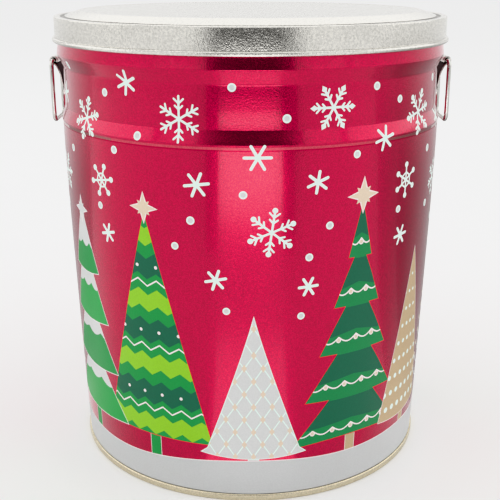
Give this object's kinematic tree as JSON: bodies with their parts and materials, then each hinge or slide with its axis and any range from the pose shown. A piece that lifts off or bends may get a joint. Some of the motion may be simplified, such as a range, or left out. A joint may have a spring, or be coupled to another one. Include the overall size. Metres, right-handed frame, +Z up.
{
  "type": "popcorn tin",
  "caption": "Round tapered metal popcorn tin, shut with a slip lid, with a printed wall, a seamed bottom and drop handles that swing out from ears on its sides.",
  "frame": {"origin": "centre of the base, on the surface that the tin stands on", "axes": "+Z up along the tin's axis; the shown front faces -Y; the handles are at -X and +X"},
  "size_m": [0.2632, 0.256, 0.2925],
  "materials": {
    "printed_wall": "crimson metallic ink and lacquer on tinplate, satin gloss",
    "lid_steel": "bare tinplate with a fine grain, satin",
    "bottom_steel": "tinplate with a pale gold lacquer",
    "ear_steel": "bright pressed tinplate",
    "handle_wire": "bright plated steel wire"
  },
  "bodies": {
    "tin": {"tin_wall": "printed_wall", "lid": "lid_steel", "bottom_end": "bottom_steel", "ear_left": "ear_steel", "ear_right": "ear_steel"},
    "left_handle": {"handle_left": "handle_wire"},
    "right_handle": {"handle_right": "handle_wire"}
  },
  "joints": [
    {"name": "left_handle_swing", "type": "hinge", "parent": "tin", "child": "left_handle", "pos_m": [-0.1288, 0, 0.26], "axis": [0, 1, 0], "range_deg": [-4, 175]},
    {"name": "right_handle_swing", "type": "hinge", "parent": "tin", "child": "right_handle", "pos_m": [0.1288, 0, 0.26], "axis": [0, -1, 0], "range_deg": [-4, 175]}
  ]
}
